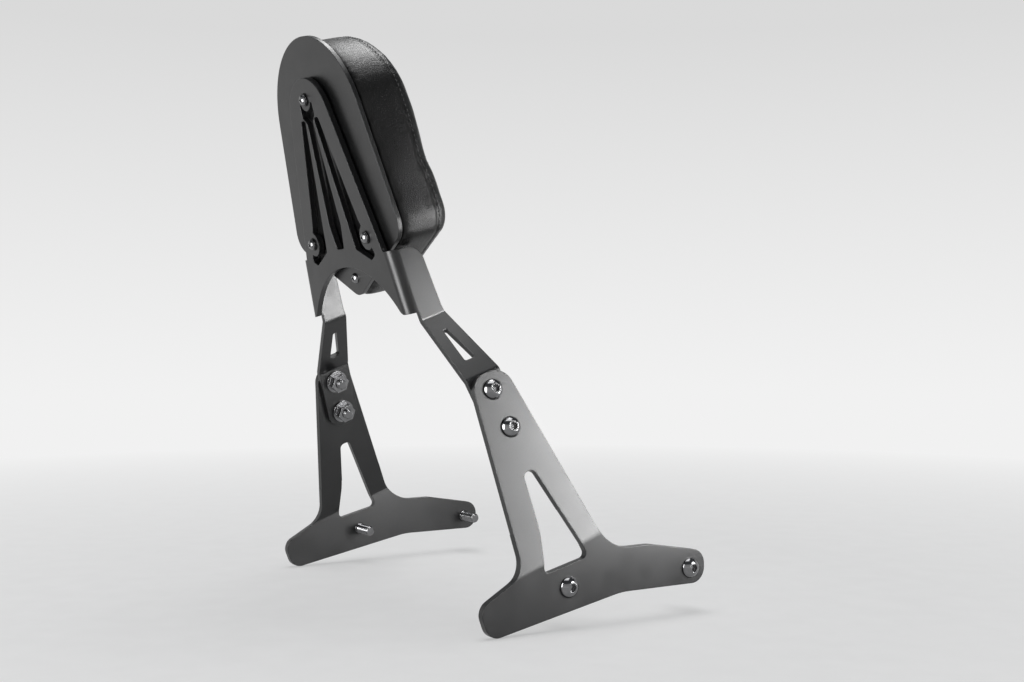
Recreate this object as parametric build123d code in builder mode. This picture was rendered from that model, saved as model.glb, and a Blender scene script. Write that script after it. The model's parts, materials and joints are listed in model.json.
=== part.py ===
"""Motorcycle sissy bar: a folded back frame with a padded backrest on two bent side brackets.

Millimetres. X points to the rider's right, Y forward and Z up. The origin lies on the middle plane,
midway between the four bolts that fasten the side brackets to the motorcycle.
"""

import os
from math import cos, radians, sin

from build123d import *

# Angles from upright, in degrees
panel_lean = 15.0
arm_lean = 20.5
arm_tilt = 15.6
leg_tilt = 42.5
flange_tilt = 9.5

# Plates and the inside radii of their bends
frame_plate = 4.0
bracket_plate = 5.0
board_plate = 3.0
panel_bend = 4.0
leg_bend = 3.0
strut_bend = 5.0

# Strut plate of a side bracket
strut_half_width = 158.0
mount_pitch = 101.0
mount_rise = 3.4
fold_height = 22.5
strut_top = 20.5
strut_bottom = 9.2
strut_end_reach = 12.3
strut_end_drop = 8.0
strut_end_radius = 10.5
strut_shoulder = 69.0
strut_throat_radius = 30.0
spur_reach = 60.0
spur_foot = 30.0
spur_top = 6.5
spur_radius = 9.5
spur_throat_radius = 17.0
strut_knee = 8.0
strut_knee_radius = 60.0

# Arm of a side bracket, across it at its fold and at its tip
arm_length = 127.0
arm_rear_foot = 36.6
arm_front_foot = 26.4
arm_rear_tip = 12.0
arm_front_tip = 14.4
arm_tip_radius = 13.0
arm_trim = 26.0

# Triangular window of a side bracket
window_top = 57.2
window_top_rear = 6.6
window_top_front = 1.8
window_top_radius = 3.9
window_waist = 20.0
window_waist_rear = 13.2
window_waist_radius = 60.0
window_foot_rear = 23.2
window_foot_front = 12.3
window_foot_drop = 6.9
window_foot_slope = 3.9
window_foot_radius = 3.5

# Frame legs and flanges
leg_fold_gap = 0.2
leg_length = 56.8
leg_rear = 12.7
leg_front = 13.8
leg_bow = 12.0
flange_front = 7.4
flange_taper = 2.6
flange_corner = 11.0
tab_stub = 10.0
tab_margin = 12.5
tab_radius = 12.0
leg_slot_foot = 14.5
leg_slot_top = 43.0
leg_slot_foot_rear = 3.6
leg_slot_foot_front = 4.8
leg_slot_top_rear = 2.4
leg_slot_top_front = 1.0
leg_slot_radius = 1.5

# Back panel, measured up its slope from the fold above the legs
panel_back = 18.3
panel_tip = 6.4
panel_shoulder = 50.4
panel_ledge = 9.2
panel_shoulder_radius = 1.5
panel_crown = 147.2
panel_crown_radius = 31.0
arch_top = 42.4
panel_foot = 9.5
panel_foot_radius = 7.0

# Slots of the back panel
boss_radius = 9.0
crown_boss_radius = 8.0
slot_rim = 11.3
slot_knee_rim = 16.7
slot_radius = 2.4
slot_top = 149.5
slot_top_inner = 7.0
slot_top_outer = 14.2
slot_knee = 73.5
slot_toe = 49.0
slot_heel = 45.6
slot_heel_width = 7.5
slot_foot = 54.5
slot_foot_inner = 24.0
middle_top = 161.0
middle_top_half = 10.0
middle_neck = 151.5
middle_neck_half = 4.9
middle_knee = 73.0
middle_knee_half = 9.6
middle_foot = 55.6
middle_foot_half = 5.6

# Pad, measured like the panel
pad_screw_low = 61.8
pad_screw_edge = 15.0
pad_screw_high = 163.3
foot_screw = 33.0
spacer_length = 2.0
spacer_radius = 6.0
pad_crown = 139.4
pad_crown_radius = 66.8
pad_corner = 68.8
pad_corner_half = 69.2
pad_corner_radius = 14.0
pad_tip = 20.6
pad_tip_radius = 15.0
cushion_depth = 40.5
cushion_round = 11.0
cushion_waist = 104.0
cushion_waist_depth = 3.0
cushion_waist_radius = 24.0
cushion_heel = 2.5
base_inset = 7.0
base_thickness = 8.0

# Fasteners
bolt_radius = 4.0
bolt_head_radius = 7.0
bolt_head_height = 4.4
bolt_socket = 5.0
frame_bolt_inset = 12.0
frame_bolt_pitch = 27.0
mount_bolt_reach = 20.0
nut_flange_radius = 8.9
nut_flange = 1.8
nut_height = 8.0
nut_flats = 13.0
nut_tail = 3.0
screw_radius = 2.0
screw_head_radius = 3.9
screw_head_height = 2.4
screw_socket = 2.5
screw_tip_gap = 1.5
washer_radius = 4.6
washer_thickness = 1.0
tee_radius = 6.0
tee_flange = 1.5
tee_barrel = 3.0
thread_share = 0.9
thread_chamfer = 0.6
head_rim = 0.16
crown_share = 0.5
socket_depth = 0.55

# Clearances
bolt_clearance = 0.3
thread_clearance = 0.05
seat_clearance = 0.1

# Directions that the arms and legs share
right = Vector(1, 0, 0)
rise = Vector(0, -sin(radians(arm_lean)), cos(radians(arm_lean)))
ahead = Vector(0, cos(radians(arm_lean)), sin(radians(arm_lean)))


def tilted(angle):
    """Outward normal of a right-hand plate that leans inward by an angle."""
    return right * cos(radians(angle)) + rise * sin(radians(angle))


def up_plate(angle, length):
    """Step of a length up such a plate, as outward and upward amounts."""
    return (-length * sin(radians(angle)), length * cos(radians(angle)))


# Side view and cross-section, both from the foot of the arm's axis
arm_foot = Vector(0, -mount_pitch / 2, fold_height)
side_plane = Plane(origin=arm_foot, x_dir=ahead, z_dir=right)
section_plane = Plane(origin=arm_foot, x_dir=right, z_dir=-ahead)
strut_plane = Plane(origin=right * strut_half_width, x_dir=(0, 1, 0), z_dir=right)
arm_plane = Plane(origin=arm_foot + right * strut_half_width, x_dir=ahead, z_dir=tilted(arm_tilt))
tab_plane = arm_plane.offset(-bracket_plate)
nut_plane = tab_plane.offset(-frame_plate)
blank = 2 * mount_pitch


def side_view(y, z):
    """Side-view coordinates of a point given by its Y and Z."""
    local = side_plane.to_local_coords(Vector(0, y, z))
    return (local.X, local.Y)


def side_of_arm(forward, length):
    """Side-view coordinates of a point on the arm."""
    return (forward, length * cos(radians(arm_tilt)))


def arm_rear(length):
    """Rear edge of the arm at a length above its fold."""
    return -arm_rear_foot + (arm_rear_foot - arm_rear_tip) * length / arm_length


def arm_front(length):
    """Front edge of the arm at a length above its fold."""
    return arm_front_foot + (arm_front_tip - arm_front_foot) * length / arm_length


# Bolt places: mounting bolts in Y and Z, frame bolts up the arm
mount_points = {
    "rear": (-mount_pitch / 2, -mount_rise / 2),
    "front": (mount_pitch / 2, mount_rise / 2),
}
frame_bolt_high = arm_length - frame_bolt_inset
frame_bolt_low = frame_bolt_high - frame_bolt_pitch
frame_points = {
    "lower": (0, frame_bolt_low),
    "upper": (0, frame_bolt_high),
}

# Window corners, up the arm and then down the strut plate
window_arm = [
    (-window_waist_rear, window_waist),
    (-window_top_rear, window_top),
    (window_top_front, window_top),
]
window_strut = [
    (window_foot_front, -window_foot_drop - window_foot_slope),
    (-window_foot_rear, -window_foot_drop),
]
window_radii = [
    window_waist_radius,
    window_top_radius,
    window_top_radius,
    window_foot_radius,
    window_foot_radius,
]

# Strut plate outline, from the arm's rear edge round the foot to its front edge
strut_front = mount_pitch / 2 + strut_end_reach
spur_end = -mount_pitch / 2 - spur_reach
bracket_outline = [
    side_of_arm(arm_rear(arm_trim), arm_trim),
    (-arm_rear_foot, 0),
    (side_view(spur_end, -spur_foot)[0], -spur_top),
    side_view(spur_end, -spur_foot),
    side_view(-strut_knee, -strut_bottom),
    side_view(strut_front, -strut_bottom),
    side_view(strut_front, strut_top - strut_end_drop),
    side_view(mount_pitch / 2 - strut_shoulder / 2, strut_top),
    (arm_front(-strut_bottom), side_view(-mount_pitch / 5, strut_top)[1]),
    side_of_arm(arm_front(arm_trim), arm_trim),
]
bracket_radii = [
    0,
    spur_throat_radius,
    spur_radius,
    spur_radius,
    strut_knee_radius,
    strut_end_radius,
    strut_end_radius,
    strut_throat_radius,
    strut_throat_radius,
    0,
]

with BuildPart() as right_bracket:
    with BuildSketch(section_plane):
        with BuildLine():
            bracket_face = FilletPolyline(
                (strut_half_width, -blank),
                (strut_half_width, 0),
                (strut_half_width + up_plate(arm_tilt, arm_trim)[0], up_plate(arm_tilt, arm_trim)[1]),
                radius=strut_bend + bracket_plate,
            )
            offset(bracket_face, amount=bracket_plate, side=Side.LEFT)
        make_face()
    extrude(amount=blank, both=True)
    with BuildSketch(side_plane):
        with BuildLine():
            FilletPolyline(*bracket_outline, radius=bracket_radii, close=True)
        make_face()
        with BuildLine():
            window_side = [side_of_arm(*point) for point in window_arm] + window_strut
            FilletPolyline(*window_side, radius=window_radii, close=True)
        make_face(mode=Mode.SUBTRACT)
    extrude(amount=blank, mode=Mode.INTERSECT)
    with BuildSketch(arm_plane):
        with BuildLine():
            FilletPolyline(
                (arm_rear(arm_trim), arm_trim),
                (-arm_rear_tip, arm_length),
                (arm_front_tip, arm_length),
                (arm_front(arm_trim), arm_trim),
                radius=[0, arm_tip_radius, arm_tip_radius, 0],
                close=True,
            )
        make_face()
        with BuildLine():
            FilletPolyline(*window_arm, *window_strut, radius=window_radii, close=True)
        make_face(mode=Mode.SUBTRACT)
    extrude(amount=-bracket_plate)
    with BuildSketch(arm_plane):
        with Locations(*frame_points.values()):
            Circle(bolt_radius + bolt_clearance)
    extrude(amount=-2 * bracket_plate, mode=Mode.SUBTRACT)
    with BuildSketch(strut_plane):
        with Locations(*mount_points.values()):
            Circle(bolt_radius + bolt_clearance)
    extrude(amount=-2 * bracket_plate, mode=Mode.SUBTRACT)

with BuildPart() as left_bracket:
    mirror(right_bracket.part, about=Plane.YZ)


def section_view(plane, length):
    """Cross-section coordinates of the point at a length up a plate."""
    local = section_plane.to_local_coords(plane.from_local_coords(Vector(0, length, 0)))
    return Vector(local.X, local.Y)


# Folds of the frame's right-hand strip, and the planes of its leg and flange
leg_fold = arm_length + leg_fold_gap
tab_start = section_view(tab_plane, leg_fold - tab_stub)
lower_fold = section_view(tab_plane, leg_fold)
upper_fold = lower_fold + Vector(*up_plate(leg_tilt, leg_length))
flange_end = upper_fold + Vector(*up_plate(flange_tilt, blank))
leg_plane = Plane(
    origin=section_plane.from_local_coords(lower_fold), x_dir=ahead, z_dir=tilted(leg_tilt)
)
flange_plane = Plane(
    origin=section_plane.from_local_coords(upper_fold), x_dir=ahead, z_dir=tilted(flange_tilt)
)

# Rear face of the back panel, and the layers of the pad in front of it
panel_plane = Plane(
    origin=side_plane.from_local_coords(Vector(-panel_back, upper_fold.Y, 0)),
    x_dir=right,
    z_dir=(0, -cos(radians(panel_lean)), -sin(radians(panel_lean))),
)
spacer_plane = panel_plane.offset(-frame_plate)
board_plane = spacer_plane.offset(-spacer_length)
pad_plane = board_plane.offset(-board_plate)
tee_plane = pad_plane.offset(-base_thickness)


def panel_edge(height, depth=0):
    """Side-view coordinates at a height up the panel and a depth in front of its rear face."""
    local = side_plane.to_local_coords(panel_plane.from_local_coords(Vector(0, height, -depth)))
    return (local.X, local.Y)


def flange_half(height):
    """Half width from flange to flange on the panel's rear face at a height."""
    local = flange_plane.to_local_coords(panel_plane.from_local_coords(Vector(0, height, 0)))
    return -local.Z / cos(radians(flange_tilt))


# Panel widths that follow the flanges, and the arch between the feet of the panel
panel_shoulder_half = flange_half(panel_shoulder) - panel_ledge
arch_half = flange_half(panel_tip) - panel_foot
arch_rise = arch_top - panel_tip
arch_radius = (arch_half**2 + arch_rise**2) / (2 * arch_rise)


def panel_half(height):
    """Half width of the panel between its shoulder and its crown."""
    share = (height - panel_shoulder) / (panel_crown - panel_shoulder)
    return panel_shoulder_half + (panel_crown_radius - panel_shoulder_half) * share


# Pad screws through the panel, and the one in the foot of the pad board
panel_points = {
    "top": (0, pad_screw_high),
    "right": (panel_half(pad_screw_low) - pad_screw_edge, pad_screw_low),
    "left": (pad_screw_edge - panel_half(pad_screw_low), pad_screw_low),
}
pad_points = {**panel_points, "foot": (0, foot_screw)}

# Side views: the flange square to the panel, then the leg from behind the panel's bend
bend_height = (panel_tip + panel_shoulder) / 2
flange_depth = panel_back + flange_front
flange_outline = [
    panel_edge(panel_tip),
    panel_edge(panel_tip, flange_depth),
    panel_edge(panel_shoulder, flange_depth - flange_taper),
    panel_edge(panel_shoulder),
]
leg_outline = [
    (-leg_rear, 0),
    (-leg_rear, lower_fold.Y),
    panel_edge(panel_tip, panel_bend + frame_plate),
    panel_edge(bend_height, flange_depth - flange_taper / 2),
    panel_edge(panel_tip, flange_depth),
    (leg_front, lower_fold.Y),
    (leg_front, 0),
]
leg_radii = [0, leg_bow, 0, 0, leg_bow, leg_bow, 0]
tab_end = frame_bolt_low - tab_margin
tab_outline = [
    (-leg_rear, leg_fold - tab_stub),
    (-leg_rear, tab_end),
    (leg_front, tab_end),
    (leg_front, leg_fold - tab_stub),
]
leg_slot = [
    (-leg_slot_foot_rear, leg_slot_foot),
    (leg_slot_foot_front, leg_slot_foot),
    (leg_slot_top_front, leg_slot_top),
    (-leg_slot_top_rear, leg_slot_top),
]
flank_slot = [
    (slot_top_inner, slot_top),
    (slot_top_outer, slot_top),
    (panel_half(slot_knee) - slot_knee_rim, slot_knee),
    (panel_half(slot_toe) - slot_rim, slot_toe),
    (panel_half(slot_toe) - slot_rim - slot_heel_width, slot_heel),
    (slot_foot_inner, slot_foot),
]
middle_slot = [
    (middle_top_half, middle_top),
    (middle_top_half, middle_neck),
    (middle_neck_half, middle_neck - middle_neck_half),
    (middle_knee_half, middle_knee),
    (middle_foot_half, middle_foot),
]


def strip_section():
    """Fill the active sketch with the cross-section of tab, leg and flange."""
    with BuildLine() as strip_line:
        strip_face = FilletPolyline(
            tab_start,
            lower_fold,
            upper_fold,
            flange_end,
            radius=[leg_bend + frame_plate, leg_bend],
        )
        offset(strip_face, amount=frame_plate, side=Side.LEFT)
    make_face(strip_line.edges())


with BuildPart() as leg_strip:
    with BuildSketch(section_plane):
        strip_section()
    extrude(amount=blank, both=True)
    with BuildSketch(side_plane):
        with BuildLine():
            FilletPolyline(*leg_outline, radius=leg_radii, close=True)
        make_face()
    extrude(amount=blank, mode=Mode.INTERSECT)
    with BuildSketch(tab_plane):
        with BuildLine():
            FilletPolyline(*tab_outline, radius=[0, tab_radius, tab_radius, 0], close=True)
        make_face()
    extrude(amount=-frame_plate)
    with BuildSketch(tab_plane):
        with Locations(*frame_points.values()):
            Circle(bolt_radius + bolt_clearance)
    extrude(amount=-2 * frame_plate, mode=Mode.SUBTRACT)
    with BuildSketch(leg_plane):
        with BuildLine():
            FilletPolyline(*leg_slot, radius=leg_slot_radius, close=True)
        make_face()
    extrude(amount=-2 * frame_plate, mode=Mode.SUBTRACT)

with BuildPart() as back_frame:
    with BuildSketch(section_plane):
        strip_section()
    extrude(amount=blank, both=True)
    with BuildSketch(side_plane):
        with BuildLine():
            FilletPolyline(*flange_outline, radius=[0, 0, flange_corner, 0], close=True)
        make_face()
    extrude(amount=blank, mode=Mode.INTERSECT)
    mirror(about=Plane.YZ)
    with BuildSketch(panel_plane) as panel_face:
        with Locations((0, panel_crown)):
            Circle(panel_crown_radius)
        with BuildLine():
            Line((-panel_shoulder_half, panel_shoulder), (panel_shoulder_half, panel_shoulder))
        make_hull()
        with BuildLine():
            Polyline(
                (flange_half(panel_shoulder) - frame_plate / 2, panel_shoulder),
                (flange_half(panel_tip) - frame_plate / 2, panel_tip),
                (frame_plate / 2 - flange_half(panel_tip), panel_tip),
                (frame_plate / 2 - flange_half(panel_shoulder), panel_shoulder),
                close=True,
            )
        make_face()
        with Locations((0, arch_top - arch_radius)):
            Circle(arch_radius, mode=Mode.SUBTRACT)
        for side in (1, -1):
            shoulder = (side * panel_shoulder_half, panel_shoulder)
            fillet(panel_face.vertices().sort_by_distance(shoulder)[0], panel_shoulder_radius)
            foot = (side * arch_half, panel_tip)
            fillet(panel_face.vertices().sort_by_distance(foot)[0], panel_foot_radius)
        for side in (1, -1):
            with BuildLine():
                FilletPolyline(*[(side * x, y) for x, y in flank_slot], radius=slot_radius, close=True)
            make_face(mode=Mode.SUBTRACT)
        with BuildLine():
            mirrored_slot = [(-x, y) for x, y in reversed(middle_slot)]
            FilletPolyline(*middle_slot, *mirrored_slot, radius=slot_radius, close=True)
        make_face(mode=Mode.SUBTRACT)
        with Locations(panel_points["right"], panel_points["left"]):
            Circle(boss_radius)
        with Locations(panel_points["top"]):
            Circle(crown_boss_radius)
        with Locations(*panel_points.values()):
            Circle(screw_radius + bolt_clearance, mode=Mode.SUBTRACT)
    extrude(amount=-frame_plate)
    for side in (1, -1):
        bend_half = side * flange_half(bend_height)
        rear_corner = panel_plane.from_local_coords(Vector(bend_half, bend_height, 0))
        fillet(back_frame.edges().sort_by_distance(rear_corner)[0], panel_bend + frame_plate)
        front_corner = panel_plane.from_local_coords(
            Vector(bend_half - side * frame_plate, bend_height, -frame_plate)
        )
        fillet(back_frame.edges().sort_by_distance(front_corner)[0], panel_bend)
    add(leg_strip.part)
    mirror(leg_strip.part, about=Plane.YZ)


def pad_outline(inset):
    """Fill the active sketch with the pad's outline, drawn in by an inset."""
    with Locations((0, pad_crown)):
        Circle(pad_crown_radius - inset)
    with Locations((pad_corner_half, pad_corner), (-pad_corner_half, pad_corner)):
        Circle(pad_corner_radius - inset)
    with Locations((0, pad_tip + pad_tip_radius)):
        Circle(pad_tip_radius - inset)
    make_hull()


with BuildPart() as pad_board:
    with BuildSketch(board_plane):
        pad_outline(0)
        with Locations(*pad_points.values()):
            Circle(screw_radius + bolt_clearance, mode=Mode.SUBTRACT)
    extrude(amount=-board_plate)

with BuildPart() as pad_base:
    with BuildSketch(pad_plane):
        pad_outline(base_inset)
        with Locations(*pad_points.values()):
            Circle(tee_barrel + seat_clearance, mode=Mode.SUBTRACT)
    extrude(amount=-base_thickness)

waist_ahead = cushion_depth + cushion_waist_radius - cushion_waist_depth
waist_axis = pad_plane.from_local_coords(Vector(0, cushion_waist, -waist_ahead))

with BuildPart() as pad_cushion:
    with BuildSketch(pad_plane):
        pad_outline(0)
    extrude(amount=-cushion_depth)
    heel_point = pad_plane.from_local_coords(Vector(0, pad_crown, 0))
    fillet(pad_cushion.faces().sort_by_distance(heel_point)[0].edges(), cushion_heel)
    front_point = pad_plane.from_local_coords(Vector(0, pad_crown, -cushion_depth))
    fillet(pad_cushion.faces().sort_by_distance(front_point)[0].edges(), cushion_round)
    with BuildSketch(Plane.YZ):
        with Locations((waist_axis.Y, waist_axis.Z)):
            Circle(cushion_waist_radius)
    extrude(amount=2 * pad_crown_radius, both=True, mode=Mode.SUBTRACT)
    with BuildSketch(pad_plane):
        pad_outline(base_inset)
    extrude(amount=-base_thickness, mode=Mode.SUBTRACT)
    with BuildSketch(tee_plane):
        with Locations(*pad_points.values()):
            Circle(tee_radius + seat_clearance)
    extrude(amount=-tee_flange, mode=Mode.SUBTRACT)

pieces = {
    "back_frame": back_frame,
    "right_bracket": right_bracket,
    "left_bracket": left_bracket,
    "pad_board": pad_board,
    "pad_base": pad_base,
    "pad_cushion": pad_cushion,
}


def seat_at(plane, point, side=1):
    """Plane at a point of another plane, or at its mirror image on the left."""
    place = plane.from_local_coords(Vector(*point, 0))
    normal = plane.z_dir
    return Plane(
        origin=(side * place.X, place.Y, place.Z),
        x_dir=plane.x_dir,
        z_dir=(side * normal.X, normal.Y, normal.Z),
    )


def ring(seat, outer_radius, inner_radius, height):
    """Flat ring that stands on a seat."""
    with BuildPart() as piece:
        with BuildSketch(seat):
            Circle(outer_radius)
            Circle(inner_radius, mode=Mode.SUBTRACT)
        extrude(amount=height)
    return piece


def button_screw(seat, radius, grip, length, head_radius, head_height, socket):
    """Domed screw with a hexagon socket: head on the seat, plain grip and then thread behind it."""
    thread_radius = thread_share * radius
    with BuildPart() as piece:
        with BuildSketch(Plane(origin=seat.origin, x_dir=seat.x_dir, z_dir=-seat.y_dir)):
            with BuildLine():
                Polyline(
                    (0, head_height),
                    (0, -length),
                    (thread_radius - thread_chamfer, -length),
                    (thread_radius, thread_chamfer - length),
                    (thread_radius, -grip),
                    (radius, -grip),
                    (radius, 0),
                    (head_radius, 0),
                    (head_radius, head_rim * head_height),
                )
                RadiusArc(
                    (head_radius, head_rim * head_height),
                    (crown_share * head_radius, head_height),
                    -head_radius,
                )
                Line((crown_share * head_radius, head_height), (0, head_height))
            make_face()
        revolve(axis=Axis(seat.origin, seat.z_dir))
        with BuildSketch(seat.offset(head_height)):
            RegularPolygon(socket / 2, 6, major_radius=False)
        extrude(amount=-socket_depth * head_height, mode=Mode.SUBTRACT)
    return piece


def flange_nut(seat):
    """Hexagon nut with a round flange, standing behind the seat."""
    with BuildPart() as piece:
        with BuildSketch(seat):
            Circle(nut_flange_radius)
        extrude(amount=-nut_flange)
        with BuildSketch(seat):
            RegularPolygon(nut_flats / 2, 6, major_radius=False)
        extrude(amount=-nut_height)
        with BuildSketch(seat):
            Circle(thread_share * bolt_radius + thread_clearance)
        extrude(amount=-nut_height, mode=Mode.SUBTRACT)
    return piece


def tee_nut(seat):
    """Tee nut whose flange lies in front of the pad base and whose barrel fills its hole."""
    with BuildPart() as piece:
        with BuildSketch(seat):
            Circle(tee_radius)
        extrude(amount=-tee_flange)
        with BuildSketch(seat):
            Circle(tee_barrel)
        extrude(amount=base_thickness)
        with BuildSketch(seat.offset(base_thickness)):
            Circle(thread_share * screw_radius + thread_clearance)
        extrude(amount=-base_thickness - tee_flange, mode=Mode.SUBTRACT)
    return piece


frame_bolt_length = bracket_plate + frame_plate + nut_height + nut_tail
mount_bolt_length = bracket_plate + mount_bolt_reach
for hand, side in (("right", 1), ("left", -1)):
    for level, point in frame_points.items():
        pieces[f"{hand}_{level}_frame_bolt"] = button_screw(
            seat_at(arm_plane, point, side),
            bolt_radius,
            bracket_plate + frame_plate,
            frame_bolt_length,
            bolt_head_radius,
            bolt_head_height,
            bolt_socket,
        )
        pieces[f"{hand}_{level}_frame_nut"] = flange_nut(seat_at(nut_plane, point, side))
    for end, point in mount_points.items():
        pieces[f"{hand}_{end}_mount_bolt"] = button_screw(
            seat_at(strut_plane, point, side),
            bolt_radius,
            bracket_plate,
            mount_bolt_length,
            bolt_head_radius,
            bolt_head_height,
            bolt_socket,
        )

panel_grip = washer_thickness + frame_plate + spacer_length + board_plate
screw_thread = base_thickness - screw_tip_gap
for place, point in panel_points.items():
    pieces[f"{place}_pad_spacer"] = ring(
        seat_at(board_plane, point), spacer_radius, screw_radius + bolt_clearance, spacer_length
    )
    pieces[f"{place}_pad_washer"] = ring(
        seat_at(panel_plane, point), washer_radius, screw_radius + bolt_clearance, washer_thickness
    )
    pieces[f"{place}_pad_screw"] = button_screw(
        seat_at(panel_plane.offset(washer_thickness), point),
        screw_radius,
        panel_grip,
        panel_grip + screw_thread,
        screw_head_radius,
        screw_head_height,
        screw_socket,
    )
pieces["foot_pad_screw"] = button_screw(
    seat_at(board_plane, pad_points["foot"]),
    screw_radius,
    board_plate,
    board_plate + screw_thread,
    screw_head_radius,
    screw_head_height,
    screw_socket,
)
for place, point in pad_points.items():
    pieces[f"{place}_tee_nut"] = tee_nut(seat_at(tee_plane, point))

os.makedirs("parts", exist_ok=True)
for name, piece in pieces.items():
    piece.part.label = name
    export_step(piece.part, f"parts/{name}.step")
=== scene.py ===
import json
import math

import bpy
import numpy as np
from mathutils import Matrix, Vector, noise
from mathutils.bvhtree import BVHTree


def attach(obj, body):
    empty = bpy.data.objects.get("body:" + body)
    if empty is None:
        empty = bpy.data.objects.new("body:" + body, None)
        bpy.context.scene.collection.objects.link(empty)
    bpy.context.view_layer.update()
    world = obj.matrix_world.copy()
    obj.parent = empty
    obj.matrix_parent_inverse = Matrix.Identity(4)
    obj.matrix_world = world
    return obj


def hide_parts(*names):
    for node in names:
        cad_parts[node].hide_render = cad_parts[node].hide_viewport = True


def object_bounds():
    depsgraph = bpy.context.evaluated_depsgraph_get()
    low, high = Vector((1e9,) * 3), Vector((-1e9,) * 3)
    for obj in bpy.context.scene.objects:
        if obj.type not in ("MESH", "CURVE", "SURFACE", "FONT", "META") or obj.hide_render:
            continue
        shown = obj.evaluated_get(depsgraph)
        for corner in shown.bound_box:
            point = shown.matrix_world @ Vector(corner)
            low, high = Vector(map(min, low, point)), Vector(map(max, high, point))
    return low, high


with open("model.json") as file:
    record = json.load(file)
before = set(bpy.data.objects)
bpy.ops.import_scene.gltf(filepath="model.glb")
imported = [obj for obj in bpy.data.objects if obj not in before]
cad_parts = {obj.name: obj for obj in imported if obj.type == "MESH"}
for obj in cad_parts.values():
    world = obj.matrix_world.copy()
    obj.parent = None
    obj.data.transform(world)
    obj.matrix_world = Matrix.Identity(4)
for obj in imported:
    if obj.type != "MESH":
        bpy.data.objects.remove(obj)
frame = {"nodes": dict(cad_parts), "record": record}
cad_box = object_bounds()
scene = bpy.context.scene
nodes = frame["nodes"]

# Lengths are in metres unless a comment says otherwise.
# Camera: lens and sensor in millimetres, image width and shift in pixels.
CAMERA_PLACE = (0.8796, -0.5469, 0.1630)
CAMERA_WAY = (-0.8471, 0.5314, 0)
CAMERA_LENS = 47.46
CAMERA_SENSOR = 36
IMAGE_WIDTH = 1024
IMAGE_SHIFT = -8

# The pad's own frame: u across, v up the slope, d forward from the back panel.
PANEL_LEAN = math.radians(15)
PAD_ORIGIN = Vector((0, -0.12474, 0.16881))
PAD_UP = Vector((0, -math.sin(PANEL_LEAN), math.cos(PANEL_LEAN)))
PAD_FORWARD = Vector((0, math.cos(PANEL_LEAN), math.sin(PANEL_LEAN)))

# The pad's outline is the hull of these circles: u, v and radius.
PAD_CIRCLES = (
    (0, 0.1394, 0.0668),
    (0.0692, 0.0688, 0.014),
    (-0.0692, 0.0688, 0.014),
    (0, 0.0356, 0.015),
)
OUTLINE_STEPS = 1440
OUTLINE_POINTS = 900

# Depth of the cushion's back, and of its front edge at each height up the pad.
PAD_REAR = 0.0091
EDGE_HEIGHTS = (
    0.020, 0.045, 0.060, 0.068, 0.084, 0.096, 0.104,
    0.112, 0.122, 0.140, 0.160, 0.175, 0.190, 0.206,
)
EDGE_DEPTHS = (
    0.0440, 0.0452, 0.0462, 0.0474, 0.0482, 0.0480, 0.0464,
    0.0467, 0.0476, 0.0489, 0.0486, 0.0478, 0.0466, 0.0460,
)

# The form that the cloth simulation starts from: inset from the outline, and depth.
START_PROFILE = (
    (0.0042, PAD_REAR), (0.0018, PAD_REAR + 0.0008), (0.0008, PAD_REAR + 0.0030),
    (0.0002, 0.018), (0.0000, 0.026), (0.0000, 0.034), (0.0002, 0.0395),
    (0.0018, 0.0440), (0.0052, 0.0472), (0.0098, 0.0482),
)
START_POINTS = 180
START_FRONT = 0.0480
CROWN_INSET = 0.0042
FLANK_BULGE = 0.0022
VOXEL = 0.004
FRONT_LIFT = 0.0006
FRONT_CROWN = 0.0020
CHANNEL_DIP = 0.0030
CLOTH_FRAMES = 20
CLOTH_PRESSURE = 4
INFLATE_CAP = 0.005

# Sewing. A channel is a height up the pad and a share of the full strength.
CHANNELS = ((0.104, 1.0), (0.079, 0.5))
SEAM_BACK = 0.0098
SEAM_PULL = 0.0008
CHANNEL_PULL = 0.0016
GATHER_PITCH = 0.0088
SEAM_GATHER = 0.00005
CHANNEL_GATHER = 0.00007
WAVE_DEPTH = 0.0004
WAVE_SCALE = 28
STITCH_PITCH = 0.0036
STITCH_LENGTH = 0.0022
STITCH_RADIUS = 0.00026
SEAM_ROW = 0.0018
CHANNEL_ROW = 0.0022
CHANNEL_STITCHES = 20

# Screw threads, with their length by the ending of the bolt's name.
THREAD_LENGTHS = {"_mount_bolt": 0.0190, "_frame_bolt": 0.0042}
THREAD_CORE = 0.0036
THREAD_CREST = 0.0040
THREAD_PITCH = 0.00125
THREAD_SINK = 0.00015

# Stage: a flat floor, then a quarter round up to a wall.
FLOOR_GAP = 0.0005
FLOOR_RINGS = (0.4, 0.9, 1.6, 2.4)
COVE_RADIUS = 1.8
COVE_STEPS = 12
WALL_TOP = 2.6
STAGE_SIDES = 96

# Cards show in gloss alone: name, place, target, size, power in watts, spread in degrees.
CARDS = (
    ("side_card", (0.54, 0.28, 0.27), (0.15, -0.02, 0.05), (0.26, 0.26), 0.62, 50),
    ("fill_card", (0.54, 0.28, 0.27), (0.10, -0.06, 0.20), (0.26, 0.26), 1.2, 180),
    ("corner_card", (0.54, 0.28, 0.27), (0.10, -0.10, 0.23), (0.18, 0.18), 0.060, 20),
    ("strut_card", (0.47, 0.20, 0.06), (0.16, -0.01, 0.0), (0.30, 0.15), 1.3, 180),
    ("pad_card", (-0.05, -0.065, 0.58), (0.045, -0.147, 0.36), (0.20, 0.20), 0.060, 32),
    ("rear_card", (0.09, -0.55, 0.17), (0.08, -0.12, 0.22), (0.22, 0.36), 3.0, 180),
    ("flange_card", (0.30, 0.17, 0.065), (-0.06, -0.11, 0.19), (0.12, 0.12), 0.10, 50),
)
SOFTBOX_PLACE = (-0.1, -0.1, 2.2)
SOFTBOX_TARGET = (0, 0, 0.15)
SOFTBOX_SIZE = (1.6, 1.6)
SOFTBOX_POWER = 27
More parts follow.
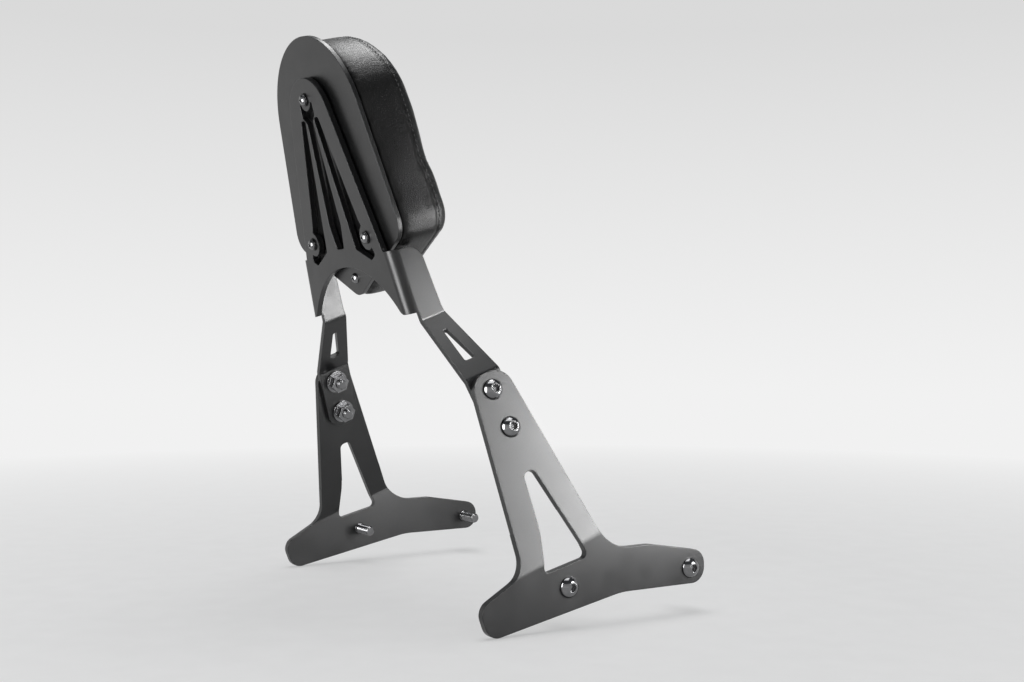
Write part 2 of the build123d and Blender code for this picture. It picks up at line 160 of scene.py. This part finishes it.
FOLD_SPOT_PLACE = (0.345, -0.018, 0.462)
FOLD_SPOT_TARGET = (0.0812, -0.1065, 0.1758)
FOLD_SPOT_RADIUS = 0.03
FOLD_SPOT_CONE = 7.0
FOLD_SPOT_BLEND = 0.6
FOLD_SPOT_POWER = 19
WORLD_COLOUR = (0.9, 0.95, 1.0, 1)
WORLD_STRENGTH = 0.15


# Camera
def add_camera():
    data = bpy.data.cameras.new("camera")
    data.lens = CAMERA_LENS
    data.sensor_width = CAMERA_SENSOR
    data.shift_y = IMAGE_SHIFT / IMAGE_WIDTH
    data.clip_start = 0.01
    camera = bpy.data.objects.new("camera", data)
    scene.collection.objects.link(camera)
    camera.location = CAMERA_PLACE
    camera.rotation_euler = Vector(CAMERA_WAY).to_track_quat("-Z", "Y").to_euler()
    scene.camera = camera


# Materials
class Nodes:
    """A material's node tree, with short calls for the nodes used here."""

    def __init__(self, name):
        self.material = bpy.data.materials.new(name)
        self.material.use_nodes = True
        self.tree = self.material.node_tree
        self.tree.nodes.clear()
        self.output = self.add("ShaderNodeOutputMaterial")
        self.coordinates = self.add("ShaderNodeTexCoord").outputs["Object"]

    def add(self, kind, **values):
        node = self.tree.nodes.new(kind)
        for key, value in values.items():
            setattr(node, key, value)
        return node

    def link(self, source, target):
        self.tree.links.new(source, target)

    def surface(self, shader):
        self.link(shader.outputs[0], self.output.inputs["Surface"])

    def principled(self, **sockets):
        shader = self.add("ShaderNodeBsdfPrincipled")
        for name, value in sockets.items():
            shader.inputs[name.replace("_", " ")].default_value = value
        self.surface(shader)
        return shader

    def noise(self, scale, detail=3):
        node = self.add("ShaderNodeTexNoise")
        node.inputs["Scale"].default_value = scale
        node.inputs["Detail"].default_value = detail
        self.link(self.coordinates, node.inputs["Vector"])
        return node.outputs["Fac"]

    def cells(self, scale, feature="F1", vector=None):
        node = self.add("ShaderNodeTexVoronoi", feature=feature)
        node.inputs["Scale"].default_value = scale
        self.link(vector or self.coordinates, node.inputs["Vector"])
        return node.outputs["Distance"]

    def span(self, value, low, high, new_low, new_high):
        node = self.add("ShaderNodeMapRange")
        for place, number in enumerate((low, high, new_low, new_high), 1):
            node.inputs[place].default_value = number
        self.link(value, node.inputs[0])
        return node.outputs[0]

    def ramp(self, value, stops):
        node = self.add("ShaderNodeValToRGB")
        elements = node.color_ramp.elements
        while len(elements) < len(stops):
            elements.new(0.5)
        for element, (place, colour) in zip(elements, stops):
            element.position = place
            element.color = (*colour, 1)
        self.link(value, node.inputs[0])
        return node.outputs[0]

    def clouds(self, value, dark, bright):
        """Colour that drifts between two tones with a noise value."""
        return self.ramp(value, [(0.3, dark), (0.7, bright)])

    def mix(self, share, a, b):
        node = self.add("ShaderNodeMix", data_type="RGBA")
        self.link(share, node.inputs["Factor"])
        for socket, value in ((node.inputs[6], a), (node.inputs[7], b)):
            if isinstance(value, tuple):
                socket.default_value = (*value, 1)
            else:
                self.link(value, socket)
        return node.outputs[2]

    def math(self, operation, a, b):
        node = self.add("ShaderNodeMath", operation=operation)
        for socket, value in zip(node.inputs, (a, b)):
            if isinstance(value, (int, float)):
                socket.default_value = value
            else:
                self.link(value, socket)
        return node.outputs[0]

    def bump(self, height, strength, distance, normal=None):
        node = self.add("ShaderNodeBump")
        node.inputs["Strength"].default_value = strength
        node.inputs["Distance"].default_value = distance
        self.link(height, node.inputs["Height"])
        if normal is not None:
            self.link(normal, node.inputs["Normal"])
        return node.outputs[0]

    def rounded_normal(self, radius):
        node = self.add("ShaderNodeBevel")
        node.samples = 4
        node.inputs["Radius"].default_value = radius
        return node.outputs[0]

    def edge(self, rounded):
        """1 along the sharp edges of a plate and 0 on its faces."""
        geometry = self.add("ShaderNodeNewGeometry")
        dot = self.add("ShaderNodeVectorMath", operation="DOT_PRODUCT")
        self.link(rounded, dot.inputs[0])
        self.link(geometry.outputs["Normal"], dot.inputs[1])
        return self.span(dot.outputs["Value"], 0.97, 0.80, 0.0, 1.0)


def black_paint():
    """Satin paint with a fine grain, paler along its edges: a painted highlight, broken into patches.
    """
    m = Nodes("satin_black_paint")
    rounded = m.rounded_normal(0.0009)
    patches = m.span(m.noise(140, detail=4), 0.35, 0.65, 0.35, 1.0)
    # The paler edges are a painted highlight, broken into patches by noise.
    painted_edge_highlight = m.math("MULTIPLY", m.math("MULTIPLY", m.edge(rounded), patches), 0.5)
    grain = m.noise(1500, detail=2)
    base = m.clouds(m.noise(9, detail=4), (0.010, 0.010, 0.0105), (0.014, 0.014, 0.0147))
    flecked = m.mix(m.span(grain, 0.35, 0.65, 0.0, 0.35), base, (0.022, 0.022, 0.023))
    colour = m.mix(painted_edge_highlight, flecked, (0.10, 0.10, 0.104))
    roughness = m.span(m.noise(60), 0.3, 0.7, 0.29, 0.36)
    shader = m.principled(Metallic=0.0, IOR=1.5, Specular_IOR_Level=0.42)
    m.link(colour, shader.inputs["Base Color"])
    m.link(roughness, shader.inputs["Roughness"])
    m.link(m.bump(grain, 0.16, 0.0002, rounded), shader.inputs["Normal"])
    return m.material


def leather():
    """Pebbled leather: wavy cells with pores, duller in the creases between them, which carry a
    painted shade.
    """
    m = Nodes("black_leather")
    wobble = m.add("ShaderNodeTexNoise")
    wobble.inputs["Scale"].default_value = 240
    m.link(m.coordinates, wobble.inputs["Vector"])
    bent = m.add("ShaderNodeVectorMath", operation="MULTIPLY_ADD")
    bent.inputs[1].default_value = (0.0016, 0.0016, 0.0016)
    m.link(wobble.outputs["Color"], bent.inputs[0])
    m.link(m.coordinates, bent.inputs[2])
    gaps = m.cells(850, "DISTANCE_TO_EDGE", bent.outputs[0])
    pebble = m.span(gaps, 0.0, 0.28, 0.0, 1.0)
    pores = m.cells(2100)
    height = m.math("ADD", m.math("MULTIPLY", pebble, 0.8), m.math("MULTIPLY", pores, 0.35))
    base = m.clouds(m.noise(16, detail=4), (0.009, 0.0088, 0.0087), (0.014, 0.0137, 0.0135))
    # The gaps between the pebbles are painted darker: painted shade in the creases.
    colour = m.mix(pebble, (0.007, 0.007, 0.007), base)
    sheen = m.span(m.noise(30), 0.3, 0.7, 0.25, 0.32)
    crease = m.span(pebble, 0.0, 1.0, 0.10, 0.0)
    shader = m.principled(IOR=1.5, Specular_IOR_Level=0.25)
    m.link(colour, shader.inputs["Base Color"])
    m.link(m.math("ADD", sheen, crease), shader.inputs["Roughness"])
    m.link(m.bump(height, 0.38, 0.0002), shader.inputs["Normal"])
    return m.material


def thread_fibre():
    """Twisted sewing thread."""
    m = Nodes("sewing_thread")
    twist = m.add("ShaderNodeTexWave", bands_direction="DIAGONAL")
    twist.inputs["Scale"].default_value = 900
    twist.inputs["Distortion"].default_value = 1.5
    m.link(m.coordinates, twist.inputs["Vector"])
    strand = twist.outputs["Fac"]
    colour = m.ramp(strand, [(0.2, (0.05, 0.05, 0.05)), (0.8, (0.14, 0.14, 0.14))])
    shader = m.principled(Specular_IOR_Level=0.4, Sheen_Weight=0.3, Sheen_Roughness=0.4)
    m.link(colour, shader.inputs["Base Color"])
    m.link(m.span(m.noise(500), 0.3, 0.7, 0.4, 0.55), shader.inputs["Roughness"])
    m.link(m.bump(strand, 0.5, 0.0001), shader.inputs["Normal"])
    return m.material


def metal(name, dark, bright, rough_low, rough_high, painted_edge_lift=0.15):
    """Metal with cloudy tone and polish, brighter along its edges: a painted highlight."""
    m = Nodes(name)
    rounded = m.rounded_normal(0.0003)
    base = m.clouds(m.noise(120, detail=4), dark, bright)
    # The edges are mixed towards the paler colour: a painted highlight.
    painted_edge_colour = tuple(min(1.0, c + painted_edge_lift) for c in bright)
    colour = m.mix(m.math("MULTIPLY", m.edge(rounded), 0.6), base, painted_edge_colour)
    fine = m.noise(1800, detail=2)
    roughness = m.span(m.noise(260, detail=4), 0.3, 0.7, rough_low, rough_high)
    shader = m.principled(Metallic=1.0)
    m.link(colour, shader.inputs["Base Color"])
    m.link(roughness, shader.inputs["Roughness"])
    m.link(m.bump(fine, 0.05, 0.0001, rounded), shader.inputs["Normal"])
    return m.material


def matte(name, dark, bright, rough, scale):
    """Dull grained stuff, such as board or rubber."""
    m = Nodes(name)
    grain = m.noise(scale, detail=4)
    roughness = m.span(m.noise(scale / 6), 0.3, 0.7, rough - 0.06, rough + 0.06)
    shader = m.principled(Specular_IOR_Level=0.35)
    m.link(m.clouds(grain, dark, bright), shader.inputs["Base Color"])
    m.link(roughness, shader.inputs["Roughness"])
    m.link(m.bump(grain, 0.3, 0.0003), shader.inputs["Normal"])
    return m.material


MATERIALS = {
    "black_paint": black_paint(),
    "pad_leather": leather(),
    "pad_base": matte("base_board", (0.035, 0.034, 0.033), (0.065, 0.063, 0.060), 0.7, 700),
    # The steel and zinc colours are darker than bare metal: a painted dark reflection of dark
    # surroundings.
    "polished_steel": metal("polished_steel", (0.17, 0.17, 0.174), (0.24, 0.24, 0.244), 0.08, 0.15),
    "plated_steel": metal("zinc_plate", (0.16, 0.16, 0.163), (0.23, 0.23, 0.235), 0.14, 0.24),
    "dark_steel": metal("black_oxide", (0.030, 0.030, 0.031), (0.055, 0.055, 0.056), 0.32, 0.45, 0.08),
    "spacer_rubber": matte("black_rubber", (0.014, 0.014, 0.014), (0.024, 0.024, 0.024), 0.65, 900),
}
SLOTS = {part["node"]: part["material_slot"] for part in frame["record"]["subparts"]}


def dress_nodes():
    """Every CAD node takes the material of its slot."""
    for node, slot in SLOTS.items():
        data = nodes[node].data
        data.materials.clear()
        data.materials.append(MATERIALS[slot])


# Meshes
def new_object(name, vertices, faces, material, smooth=True):
    data = bpy.data.meshes.new(name)
    data.from_pydata([tuple(v) for v in vertices], [], faces)
    data.polygons.foreach_set("use_smooth", [smooth] * len(data.polygons))
    data.materials.append(material)
    data.update()
    piece = bpy.data.objects.new(name, data)
    scene.collection.objects.link(piece)
    return piece


def evaluated_mesh(piece):
    bpy.context.view_layer.update()
    graph = bpy.context.evaluated_depsgraph_get()
    return bpy.data.meshes.new_from_object(piece.evaluated_get(graph))


def points_of(data):
    flat = np.zeros(len(data.vertices) * 3)
    data.vertices.foreach_get("co", flat)
    return flat.reshape(-1, 3)


def set_points(data, points):
    data.vertices.foreach_set("co", points.ravel())
    data.update()


def vertex_normals(data):
    flat = np.zeros(len(data.vertices) * 3)
    data.vertex_normals.foreach_get("vector", flat)
    return flat.reshape(-1, 3)


def ring_faces(first, count):
    """Quads between a ring of points and the next ring after it."""
    faces = []
    for k in range(count):
        a = first + k
        b = first + (k + 1) % count
        faces.append((a, b, b + count, a + count))
    return faces


def smooth_step(value, low, high):
    t = np.clip((value - low) / (high - low), 0, 1)
    return t * t * (3 - 2 * t)


def bell(offset, width):
    return np.exp(-((offset / width) ** 2))


def runs_along(points):
    """The distance along a line of points, at each of them."""
    return np.concatenate([[0], np.cumsum(np.linalg.norm(np.diff(points, axis=0), axis=1))])


# Pad
def pad_to_row(points):
    """Points (u, v, d) in the pad's frame, moved into the row's frame."""
    turn = np.array([(1, 0, 0), tuple(PAD_UP), tuple(PAD_FORWARD)])
    return np.array(PAD_ORIGIN) + points @ turn


def outline(inset, count, crown=0.0, bulge=0.0):
    """The pad's outline drawn in by an inset, lower at its crown and fuller below, evenly spaced."""
    dense = []
    for step in range(OUTLINE_STEPS):
        angle = 2 * math.pi * step / OUTLINE_STEPS
        way = (math.cos(angle), math.sin(angle))
        u, v, r = max(PAD_CIRCLES, key=lambda c: c[0] * way[0] + c[1] * way[1] + c[2])
        r -= inset + crown * smooth_step(way[1], 0.3, 1.0) - bulge * smooth_step(-way[1], 0.2, 0.9)
        dense.append((u + r * way[0], v + r * way[1]))
    dense = np.array(dense + dense[:1])
    run = runs_along(dense)
    marks = np.linspace(0, run[-1], count, endpoint=False)
    return np.stack([np.interp(marks, run, dense[:, 0]), np.interp(marks, run, dense[:, 1])], 1)


def nearest_on_outline(points):
    """For each (u, v): the distance inside the outline and the run along it."""
    loop = outline(0, OUTLINE_POINTS)
    run = runs_along(loop)
    inset = np.zeros(len(points))
    along = np.zeros(len(points))
    batch = 8000
    for first in range(0, len(points), batch):
        part = points[first:first + batch]
        gap = np.linalg.norm(part[:, None, :] - loop[None, :, :], axis=2)
        best = gap.argmin(1)
        inset[first:first + batch] = gap[np.arange(len(part)), best]
        along[first:first + batch] = run[best]
    return inset, along


def front_depth(v):
    """Depth of the pad's front at its edge, at a height up the pad."""
    return np.interp(v, EDGE_HEIGHTS, EDGE_DEPTHS)


def seam_depth(v):
    """Depth of the seam that joins the side of the pad to its front."""
    return front_depth(v) - SEAM_BACK


def cushion_start():
    """A closed form a little smaller than the finished cushion, in the pad's frame."""
    vertices = []
    for inset, depth in START_PROFILE:
        ring = outline(inset, START_POINTS, CROWN_INSET, FLANK_BULGE)
        vertices += [(u, v, depth) for u, v in ring]
    faces = []
    last = (len(START_PROFILE) - 1) * START_POINTS
    for first in range(0, last, START_POINTS):
        faces += ring_faces(first, START_POINTS)
    faces.append(tuple(range(START_POINTS))[::-1])
    faces.append(tuple(range(last, last + START_POINTS)))
    return vertices, faces


def shape_front(data):
    """Follow the photograph's edge, crown the front and dip it at the channels."""
    points = points_of(data)
    v = points[:, 1]
    inset = nearest_on_outline(points[:, :2])[0]
    crown = FRONT_CROWN * smooth_step(inset, 0.004, 0.050)
    dip = sum(CHANNEL_DIP * share * bell(v - channel, 0.005) for channel, share in CHANNELS)
    dip = dip * smooth_step(inset, 0.004, 0.012)
    near_front = smooth_step(points[:, 2], 0.024, 0.0475)
    points[:, 2] += near_front * (front_depth(v) - START_FRONT + FRONT_LIFT + crown - dip)
    set_points(data, points)


def hold_weights(points):
    """How firmly each point is held: the back fully, the sewn lines in part."""
    v, d = points[:, 1], points[:, 2]
    seam = seam_depth(v)
    hold = 1 - smooth_step(d, PAD_REAR + 0.003, PAD_REAR + 0.010)
    in_front = smooth_step(d, seam, seam + 0.004)
    for channel, share in CHANNELS:
        hold = np.maximum(hold, 0.9 * share * (bell(v - channel, 0.003) * in_front))
    return np.maximum(hold, 0.6 * bell(d - seam, 0.002))


def inflate(piece):
    """Cloth pressure fills the pad, and a cap limits how far a point may move."""
    start = points_of(piece.data)
    group = piece.vertex_groups.new(name="hold")
    for index, weight in enumerate(hold_weights(start)):
        group.add([index], float(weight), "REPLACE")
    cloth = piece.modifiers.new("cloth", "CLOTH")
    settings = cloth.settings
    settings.quality = 6
    settings.mass = 0.3
    settings.tension_stiffness = 20
    settings.compression_stiffness = 20
    settings.shear_stiffness = 8
    settings.bending_stiffness = 2
    settings.vertex_group_mass = "hold"
    settings.use_pressure = True
    settings.uniform_pressure_force = CLOTH_PRESSURE
    settings.effector_weights.gravity = 0
    cloth.point_cache.frame_start = 1
    cloth.point_cache.frame_end = CLOTH_FRAMES
    for number in range(1, CLOTH_FRAMES + 1):
        scene.frame_set(number)
    blown = evaluated_mesh(piece)
    moved = points_of(blown) - start
    length = np.linalg.norm(moved, axis=1, keepdims=True)
    moved *= INFLATE_CAP * np.tanh(length / INFLATE_CAP) / np.maximum(length, 1e-9)
    piece.modifiers.clear()
    scene.frame_set(1)
    set_points(piece.data, start + moved)
    bpy.data.meshes.remove(blown)


def sew(data):
    """Draw in the seam round the pad and the channels across its front, with small gathers."""
    points = points_of(data)
    normals = vertex_normals(data)
    inset, along = nearest_on_outline(points[:, :2])
    u, v, d = points.T
    behind = d - seam_depth(v)
    on_rim = smooth_step(inset, 0.014, 0.008)
    rim_gather = np.sin(2 * math.pi * along / GATHER_PITCH)
    pull = -SEAM_PULL * bell(behind, 0.0010) * on_rim
    pull += SEAM_GATHER * rim_gather * bell(behind, 0.0040) * on_rim
    on_face = smooth_step(inset, 0.0035, 0.0120) * smooth_step(behind, 0.0, 0.004)
    face_gather = np.sin(2 * math.pi * u / GATHER_PITCH)
    for channel, share in CHANNELS:
        pull -= CHANNEL_PULL * share * bell(v - channel, 0.0013) * on_face
        pull += CHANNEL_GATHER * face_gather * bell(v - channel, 0.005) * on_face
    free = smooth_step(d, PAD_REAR + 0.002, PAD_REAR + 0.008)
    pull += free * np.array([WAVE_DEPTH * noise.noise(Vector(p) * WAVE_SCALE) for p in points])
    points += normals * pull[:, None]
    points[:, 2] = np.maximum(points[:, 2], PAD_REAR)
    set_points(data, points)


def make_cushion():
    vertices, faces = cushion_start()
    rough = new_object("cushion_start", vertices, faces, MATERIALS["pad_leather"])
    remesh = rough.modifiers.new("remesh", "REMESH")
    remesh.mode = "VOXEL"
    remesh.voxel_size = VOXEL
    data = evaluated_mesh(rough)
    bpy.data.objects.remove(rough)
    cushion = bpy.data.objects.new("cushion", data)
    scene.collection.objects.link(cushion)
    shape_front(data)
    inflate(cushion)
    finer = cushion.modifiers.new("finer", "SUBSURF")
    finer.levels = 2
    finer.render_levels = 2
    data = evaluated_mesh(cushion)
    cushion.modifiers.clear()
    cushion.data = data
    sew(data)
    data.polygons.foreach_set("use_smooth", [True] * len(data.polygons))
    data.materials.clear()
    data.materials.append(MATERIALS["pad_leather"])
    return cushion


# Stitches
def add_stitch(centre, along, out, vertices, faces):
    """A short thread that dips into the leather at both ends."""
    along = (along - out * along.dot(out)).normalized()
    side = along.cross(out).normalized()
    first = len(vertices)
    rings, around = 5, 8
    for ring in range(rings):
        t = ring / (rings - 1) * 2 - 1
        rise = STITCH_RADIUS * (0.55 - 1.5 * t * t)
        size = STITCH_RADIUS * (1 - 0.35 * t * t)
        middle = centre + along * (t * STITCH_LENGTH / 2) + out * rise
        for k in range(around):
            angle = 2 * math.pi * k / around
            vertices.append(middle + (side * math.cos(angle) + out * math.sin(angle)) * size)
    last = first + (rings - 1) * around
    for start in range(first, last, around):
        faces += ring_faces(start, around)
    faces.append(tuple(range(first, first + around))[::-1])
    faces.append(tuple(range(last, last + around)))


def make_stitching(cushion):
    """Rows of stitches beside the seam and the channels, laid on the cushion's surface."""
    data = cushion.data
    corners = [v.co for v in data.vertices]
    tree = BVHTree.FromPolygons(corners, [tuple(p.vertices) for p in data.polygons])
    vertices, faces = [], []
    total = np.linalg.norm(np.diff(outline(0, OUTLINE_POINTS), axis=0), axis=1).sum()
    loop = outline(0, int(total / STITCH_PITCH))
    for k, (u, v) in enumerate(loop):
        step = loop[(k + 1) % len(loop)] - loop[k - 1]
        along = Vector((step[0], step[1], 0)).normalized()
        inward = Vector((-along.y, along.x, 0))
        outside = Vector((u, v, seam_depth(v) + SEAM_ROW)) - inward * 0.03
        hit, normal, _, _ = tree.ray_cast(outside, inward)
        if hit is not None:
            add_stitch(hit, along, normal, vertices, faces)
    for channel, _ in CHANNELS:
        for row in (-CHANNEL_ROW, CHANNEL_ROW):
            for k in range(-CHANNEL_STITCHES, CHANNEL_STITCHES + 1):
                above = Vector((k * STITCH_PITCH, channel + row, 0.09))
                hit, normal, _, _ = tree.ray_cast(above, Vector((0, 0, -1)))
                if hit is not None and hit.z > seam_depth(channel) + 0.0040:
                    add_stitch(hit, Vector((1, 0, 0)), normal, vertices, faces)
    return new_object("pad_stitching", vertices, faces, thread_fibre())


# Bolt threads
def make_thread(name, tip, back, length, material):
    """A screw thread wound round a bolt's end, from its tip back along its axis."""
    side = back.orthogonal().normalized()
    other = back.cross(side)
    around = 28
    run_out = 14
    steps = int(length / THREAD_PITCH * around)
    sunk = THREAD_CORE - THREAD_SINK
    foot = back * (THREAD_PITCH * 0.46)
    flat = back * (THREAD_PITCH * 0.07)
    vertices, faces = [], []
    for k in range(steps + 1):
        angle = 2 * math.pi * k / around
        way = side * math.cos(angle) + other * math.sin(angle)
        base = tip + back * (THREAD_PITCH * 0.5 + (length - THREAD_PITCH) * k / steps)
        fade = min(1.0, k / run_out, (steps - k) / run_out)
        rise = THREAD_CORE + (THREAD_CREST - THREAD_CORE) * fade
        vertices.append(base + way * sunk - foot)
        vertices.append(base + way * rise - flat)
        vertices.append(base + way * rise + flat)
        vertices.append(base + way * sunk + foot)
    for k in range(steps):
        a = k * 4
        for j in range(a, a + 3):
            faces.append((j, j + 4, j + 5, j + 1))
        faces.append((a + 3, a + 7, a + 4, a))
    last = steps * 4
    faces.append((0, 1, 2, 3))
    faces.append((last + 3, last + 2, last + 1, last))
    return new_object(name, vertices, faces, material, smooth=False)


def bolt_axis(node):
    """The tip of a bolt and the way back to its head, from its own mesh."""
    points = points_of(nodes[node].data)
    spread = points - points.mean(0)
    way = np.linalg.svd(spread, full_matrices=False)[2][0]
    run = spread @ way
    radial = np.linalg.norm(spread - np.outer(run, way), axis=1)
    near_end = radial[run < run.min() + 0.004].max()
    far_end = radial[run > run.max() - 0.004].max()
    if near_end > far_end:
        way = -way
        run = -run
    ends = points[run < run.min() + 0.0002]
    return Vector(ends.mean(0)), Vector(way)


def add_threads():
    for node in nodes:
        for ending, length in THREAD_LENGTHS.items():
            if node.endswith(ending):
                tip, back = bolt_axis(node)
                slot = SLOTS[node]
                piece = make_thread(node + "_thread", tip, back, length, MATERIALS[slot])
                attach(piece, "root")


# Stage and light
def floor_material():
    """Pale floor that takes shadows near the object and glows further out, with painted shade that
    darkens the glow up the wall.
    """
    m = Nodes("studio_floor")
    diffuse = m.add("ShaderNodeBsdfDiffuse")
    speckle = m.clouds(m.noise(40), (0.84, 0.84, 0.84), (0.88, 0.88, 0.88))
    m.link(speckle, diffuse.inputs["Color"])
    glow = m.add("ShaderNodeEmission")
    height = m.add("ShaderNodeSeparateXYZ")
    m.link(m.coordinates, height.inputs[0])
    rise = m.span(height.outputs["Z"], 0.0, 1.3, 0.0, 1.0)
    # The glow darkens with height up the wall: painted shade.
    painted_glow_falloff = m.ramp(rise, [(0.0, (0.88, 0.88, 0.88)), (1.0, (0.70, 0.70, 0.70))])
    m.link(painted_glow_falloff, glow.inputs["Color"])
    path = m.add("ShaderNodeLightPath")
    seen = m.math("MAXIMUM", path.outputs["Is Camera Ray"], path.outputs["Is Glossy Ray"])
    seen = m.math("MAXIMUM", seen, path.outputs["Is Transmission Ray"])
    far = m.add("ShaderNodeVectorMath", operation="LENGTH")
    m.link(m.coordinates, far.inputs[0])
    share = m.math("MULTIPLY", seen, m.span(far.outputs["Value"], 0.3, 1.3, 0.48, 1.0))
    blend = m.add("ShaderNodeMixShader")
    m.link(share, blend.inputs[0])
    m.link(diffuse.outputs[0], blend.inputs[1])
    m.link(glow.outputs[0], blend.inputs[2])
    m.surface(blend)
    return m.material


def add_stage():
    """A pale floor that turns up into a wall all round."""
    low = cad_box[0].z - FLOOR_GAP
    edge = FLOOR_RINGS[-1]
    profile = [(radius, 0.0) for radius in FLOOR_RINGS]
    for turn in np.linspace(0, math.pi / 2, COVE_STEPS + 1)[1:]:
        across = edge + COVE_RADIUS * math.sin(turn)
        profile.append((across, COVE_RADIUS - COVE_RADIUS * math.cos(turn)))
    profile.append((edge + COVE_RADIUS, WALL_TOP))
    vertices = [(0, 0, low)]
    for radius, height in profile:
        for k in range(STAGE_SIDES):
            angle = 2 * math.pi * k / STAGE_SIDES
            vertices.append((radius * math.cos(angle), radius * math.sin(angle), low + height))
    faces = [(0, 1 + k, 1 + (k + 1) % STAGE_SIDES) for k in range(STAGE_SIDES)]
    for ring in range(len(profile) - 1):
        for a, b, c, d in ring_faces(1 + ring * STAGE_SIDES, STAGE_SIDES):
            faces.append((a, d, c, b))
    new_object("studio_floor", vertices, faces, floor_material())


def add_lamp(name, data, place, target, gloss_only):
    lamp = bpy.data.objects.new(name, data)
    scene.collection.objects.link(lamp)
    lamp.location = place
    lamp.rotation_euler = (Vector(target) - Vector(place)).to_track_quat("-Z", "Y").to_euler()
    lamp.visible_camera = False
    lamp.visible_diffuse = not gloss_only


def area_light(name, size, power, spread=180):
    data = bpy.data.lights.new(name, "AREA")
    data.shape = "RECTANGLE"
    data.size, data.size_y = size
    data.energy = power
    data.spread = math.radians(spread)
    return data


def spot_light(name, radius, cone, blend, power):
    data = bpy.data.lights.new(name, "SPOT")
    data.shadow_soft_size = radius
    data.spot_size = math.radians(cone)
    data.spot_blend = blend
    data.energy = power
    return data


def add_light():
    world = bpy.data.worlds.new("studio")
    world.use_nodes = True
    background = world.node_tree.nodes["Background"]
    background.inputs["Color"].default_value = WORLD_COLOUR
    background.inputs["Strength"].default_value = WORLD_STRENGTH
    scene.world = world
    for name, place, target, size, power, spread in CARDS:
        add_lamp(name, area_light(name, size, power, spread), place, target, True)
    spot = spot_light("fold_spot", FOLD_SPOT_RADIUS, FOLD_SPOT_CONE, FOLD_SPOT_BLEND, FOLD_SPOT_POWER)
    add_lamp("fold_spot", spot, FOLD_SPOT_PLACE, FOLD_SPOT_TARGET, True)
    softbox = area_light("top_softbox", SOFTBOX_SIZE, SOFTBOX_POWER)
    add_lamp("top_softbox", softbox, SOFTBOX_PLACE, SOFTBOX_TARGET, False)


add_camera()
dress_nodes()
cushion = make_cushion()
stitching = make_stitching(cushion)
for piece in (cushion, stitching):
    set_points(piece.data, pad_to_row(points_of(piece.data)))
    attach(piece, "root")
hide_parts("pad_cushion")
add_threads()
add_stage()
add_light()

scene.view_settings.view_transform = "Standard"
